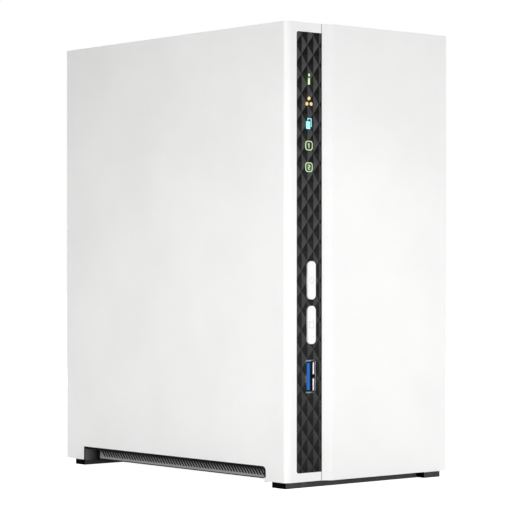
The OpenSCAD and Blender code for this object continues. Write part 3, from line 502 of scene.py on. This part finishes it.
STRIP = faceted_painted_shade_and_glow("strip_plastic", [
    # painted glow round each lit sign: node, tint, reach
    ("status_light", (0.004, 0.016, 0.002), 4.5 * MM),
    ("network_light", (0.014, 0.006, 0.001), 4.5 * MM),
    ("copy_light", (0.001, 0.009, 0.014), 4.5 * MM),
    ("drive_1_light", (0.004, 0.014, 0.002), 3.6 * MM),
    ("drive_2_light", (0.004, 0.014, 0.002), 3.6 * MM),
])
COPPER = winding("coil_copper", (0.62, 0.24, 0.08))
STATUS = glow("status_glow", (0.85, 1.0, 0.68), (0.72, 0.95, 0.5), 0.95)
NETWORK = glow("network_glow", (1.0, 0.86, 0.42), (0.93, 0.72, 0.28), 0.9)
COPY = glow("copy_glow", (0.42, 1.0, 1.0), (0.34, 0.92, 1.0), 1.05)
DRIVE = glow("drive_glow", (0.68, 0.84, 0.56), (0.56, 0.76, 0.42), 0.95)

MATERIAL_OF = {
    "white_plastic": PLASTIC_WHITE, "dark_plastic": DARK, "strip_plastic": STRIP, "foot_rubber": RUBBER,
    "status_glow": STATUS, "network_glow": NETWORK, "copy_glow": COPY, "drive_glow": DRIVE,
    "clear_plastic": CLEAR, "led_plastic": LED, "port_steel": STEEL, "blue_plastic": BLUE,
    "black_plastic": BLACK, "gold_contacts": GOLD, "circuit_board": BOARD, "chip_black": CHIP,
    "sink_aluminium": SINK, "battery_steel": SHAFT, "cage_steel": CAGE, "drive_aluminium": CAST,
    "lid_steel": LID, "magnet_iron": IRON, "shaft_steel": SHAFT, "bearing_brass": BRASS,
    "coil_copper": COPPER, "screw_steel": SCREW, "black_steel": BLACK_STEEL,
}
MATERIAL_OF_NODE = {
    "right_cover": COVER, "left_vent": VENT, "right_vent": VENT,
    "power_button": POWER_BUTTON, "copy_button": COPY_BUTTON, "front_usb_shell": SOCKET,
}


def dress_cad_nodes():
    """Gives every CAD node its own material, or the one of its slot in the record."""
    for part in frame["record"]["subparts"]:
        shader = MATERIAL_OF_NODE.get(part["node"], MATERIAL_OF[part["material_slot"]])
        mesh = NODES[part["node"]].data
        mesh.materials.clear()
        mesh.materials.append(shader.material)


# ---------------------------------------------------------------- stage

# The camera was solved from the case's edges in the photo.
VIEW_AZIMUTH = math.radians(40.43)      # the camera looks from the front left
EYE_TO_CORNER = Vector((0.01381, 0.8363))   # from the eye to the front left corner: across, away
EYE_HEIGHT = 0.08945                    # metres above the floor
FOCAL_LENGTH = 145.0
SENSOR = 36.0
HORIZON_SHIFT = 0.0279

SURROUND = 0.16                         # light from all round
FLOOR_GLOW = 0.99                       # what the floor shows where no light reaches it
SOFTBOX_SIZE = (0.26, 0.1)
# Bearing from the front left corner, distance, height, watts. A least-squares fit of the render's greys
# to the photo's picked these boxes out of a grid of candidates, and gave their watts.
SOFTBOXES = [
    (-50, 0.7, 0.085, 0.746), (-20, 0.4, 0.06, 0.27), (10, 0.4, 0.06, 0.345),
    (40, 0.4, 0.06, 0.654), (100, 0.4, 0.06, 0.731),
]
MIDDLE = (0, 0, 0.09)                   # what every light points at
OFF_VERTICAL = 0.001                    # keeps the top fill's aim off the exact vertical
FILLS = {                               # place, size, watts
    "rear_fill": ((0.55, 0.6, 0.5), (0.6, 0.6), 6.0),
    "top_fill": ((OFF_VERTICAL, 0, 0.6), (0.12, 0.12), 0.4),
}


def make_camera():
    """Camera at eye height in front of the left corner, level, with a small upward shift."""
    corner = Vector(cad_box[0][:2])
    across = Vector((math.cos(VIEW_AZIMUTH), -math.sin(VIEW_AZIMUTH)))
    away = Vector((math.sin(VIEW_AZIMUTH), math.cos(VIEW_AZIMUTH)))
    eye = corner - across * EYE_TO_CORNER.x - away * EYE_TO_CORNER.y
    data = bpy.data.cameras.new("camera")
    data.sensor_width = SENSOR
    data.lens = FOCAL_LENGTH
    data.shift_y = HORIZON_SHIFT
    camera = bpy.data.objects.new("camera", data)
    camera.location = (eye.x, eye.y, EYE_HEIGHT)
    camera.rotation_euler = (math.pi / 2, 0, -VIEW_AZIMUTH)
    bpy.context.scene.collection.objects.link(camera)
    bpy.context.scene.camera = camera


def make_floor():
    """White floor: it lights the object as a pale floor does, and looks white but for a contact shadow."""
    half = 6.0
    corners = [(-half, -half, 0), (half, -half, 0), (half, half, 0), (-half, half, 0)]
    mesh = bpy.data.meshes.new("floor")
    mesh.from_pydata(corners, [], [range(4)])
    floor = bpy.data.objects.new("floor", mesh)
    bpy.context.scene.collection.objects.link(floor)
    s = Shader("floor_white")
    mottle = s.noise(0.2, 3.0)
    s.colour(s.ramp(mottle, [(0.3, (0.84, 0.84, 0.84)), (0.7, (0.86, 0.86, 0.86))]))
    s.set(Roughness=0.9, Emission_Color=(1, 1, 1, 1))
    path = s.node("ShaderNodeLightPath")
    seen = s.math("MULTIPLY", path.outputs["Is Camera Ray"], FLOOR_GLOW)
    s.link(seen, s.principled.inputs["Emission Strength"])
    mesh.materials.append(s.material)


def area_light(name, place, size, energy):
    """Panel of light, `size` metres wide and high, that points at the object's middle."""
    data = bpy.data.lights.new(name, "AREA")
    data.shape = "RECTANGLE"
    data.size, data.size_y = size
    data.energy = energy
    light = bpy.data.objects.new(name, data)
    light.location = place
    light.rotation_euler = (Vector(MIDDLE) - Vector(place)).to_track_quat("-Z", "Y").to_euler()
    bpy.context.scene.collection.objects.link(light)


def make_light():
    """Dim even surround that looks white, and a fan of upright softboxes round the front corner."""
    world = bpy.data.worlds.new("surround")
    world.use_nodes = True
    nodes = world.node_tree.nodes
    links = world.node_tree.links
    seen = nodes.new("ShaderNodeBackground")
    path = nodes.new("ShaderNodeLightPath")
    choose = nodes.new("ShaderNodeMixShader")
    nodes["Background"].inputs["Color"].default_value = (1, 1, 1, 1)
    nodes["Background"].inputs["Strength"].default_value = SURROUND
    seen.inputs["Color"].default_value = (1, 1, 1, 1)
    links.new(path.outputs["Is Camera Ray"], choose.inputs["Fac"])
    links.new(nodes["Background"].outputs["Background"], choose.inputs[1])
    links.new(seen.outputs["Background"], choose.inputs[2])
    links.new(choose.outputs["Shader"], nodes["World Output"].inputs["Surface"])
    bpy.context.scene.world = world
    corner = cad_box[0]
    for bearing, distance, height, energy in SOFTBOXES:
        turn = math.radians(bearing)
        place = (corner[0] - math.sin(turn) * distance, corner[1] - math.cos(turn) * distance, height)
        area_light("softbox", place, SOFTBOX_SIZE, energy)
    for name, fill in FILLS.items():
        area_light(name, *fill)
    scene = bpy.context.scene
    scene.view_settings.view_transform = "Standard"
    scene.view_settings.look = "None"


dress_cad_nodes()
make_camera()
make_floor()
make_light()
